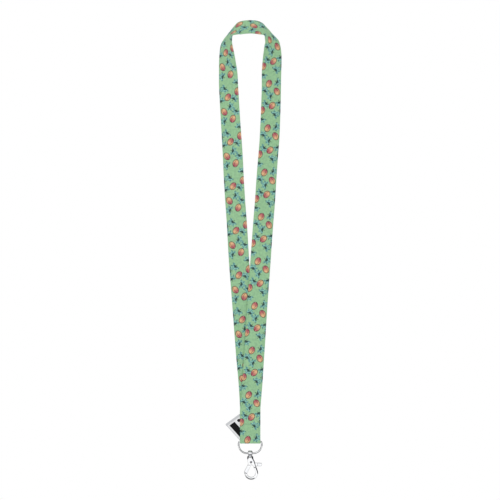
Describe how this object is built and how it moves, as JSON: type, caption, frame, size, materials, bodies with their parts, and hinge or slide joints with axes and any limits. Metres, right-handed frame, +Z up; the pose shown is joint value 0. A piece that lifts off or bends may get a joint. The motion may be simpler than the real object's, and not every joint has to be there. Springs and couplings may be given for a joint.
{
  "type": "lanyard",
  "caption": "Ribbon neck lanyard hanging from its neck arch, with a side label, a wire D ring and a swivelling sprung trigger hook.",
  "frame": {"origin": "underside of the strap's neck arch, at its middle, where it hangs on a peg or a neck", "axes": "+Z up against the hang of the strap, +X across the front to the right, +Y away from the viewer of the printed face"},
  "size_m": [0.0623, 0.0196, 0.4534],
  "materials": {
    "ribbon": "satin",
    "seam_thread": "satin",
    "label_tape": "satin",
    "ring_wire": "polished",
    "cast_metal": "polished",
    "pin_steel": "satin",
    "spring_steel": "satin"
  },
  "bodies": {
    "strap": {"strap": "ribbon", "seam_stitches": "seam_thread", "side_label": "label_tape"},
    "ring": {"d_ring": "ring_wire"},
    "swivel": {"swivel_eye": "cast_metal"},
    "hook": {"hook_body": "cast_metal", "gate_pin": "pin_steel", "gate_spring": "spring_steel"},
    "gate": {"gate_lever": "cast_metal"}
  },
  "joints": [
    {"name": "ring_swing", "type": "hinge", "parent": "strap", "child": "ring", "pos_m": [0, 0, -0.4082], "axis": [1, 0, 0], "range_deg": [-90, 90]},
    {"name": "swivel_swing", "type": "hinge", "parent": "ring", "child": "swivel", "pos_m": [0, 0, -0.4198], "axis": [1, 0, 0], "range_deg": [-70, 70]},
    {"name": "hook_turn", "type": "hinge", "parent": "swivel", "child": "hook", "pos_m": [0, 0, -0.4226], "axis": [0, 0, 1], "continuous": true},
    {"name": "gate_open", "type": "hinge", "parent": "hook", "child": "gate", "pos_m": [0.0008, 0, -0.4284], "axis": [0, -1, 0], "range_deg": [0, 25], "stiffness_Nm_per_rad": 0.02, "springref_deg": -20.05, "deforming": ["gate_spring"]}
  ]
}
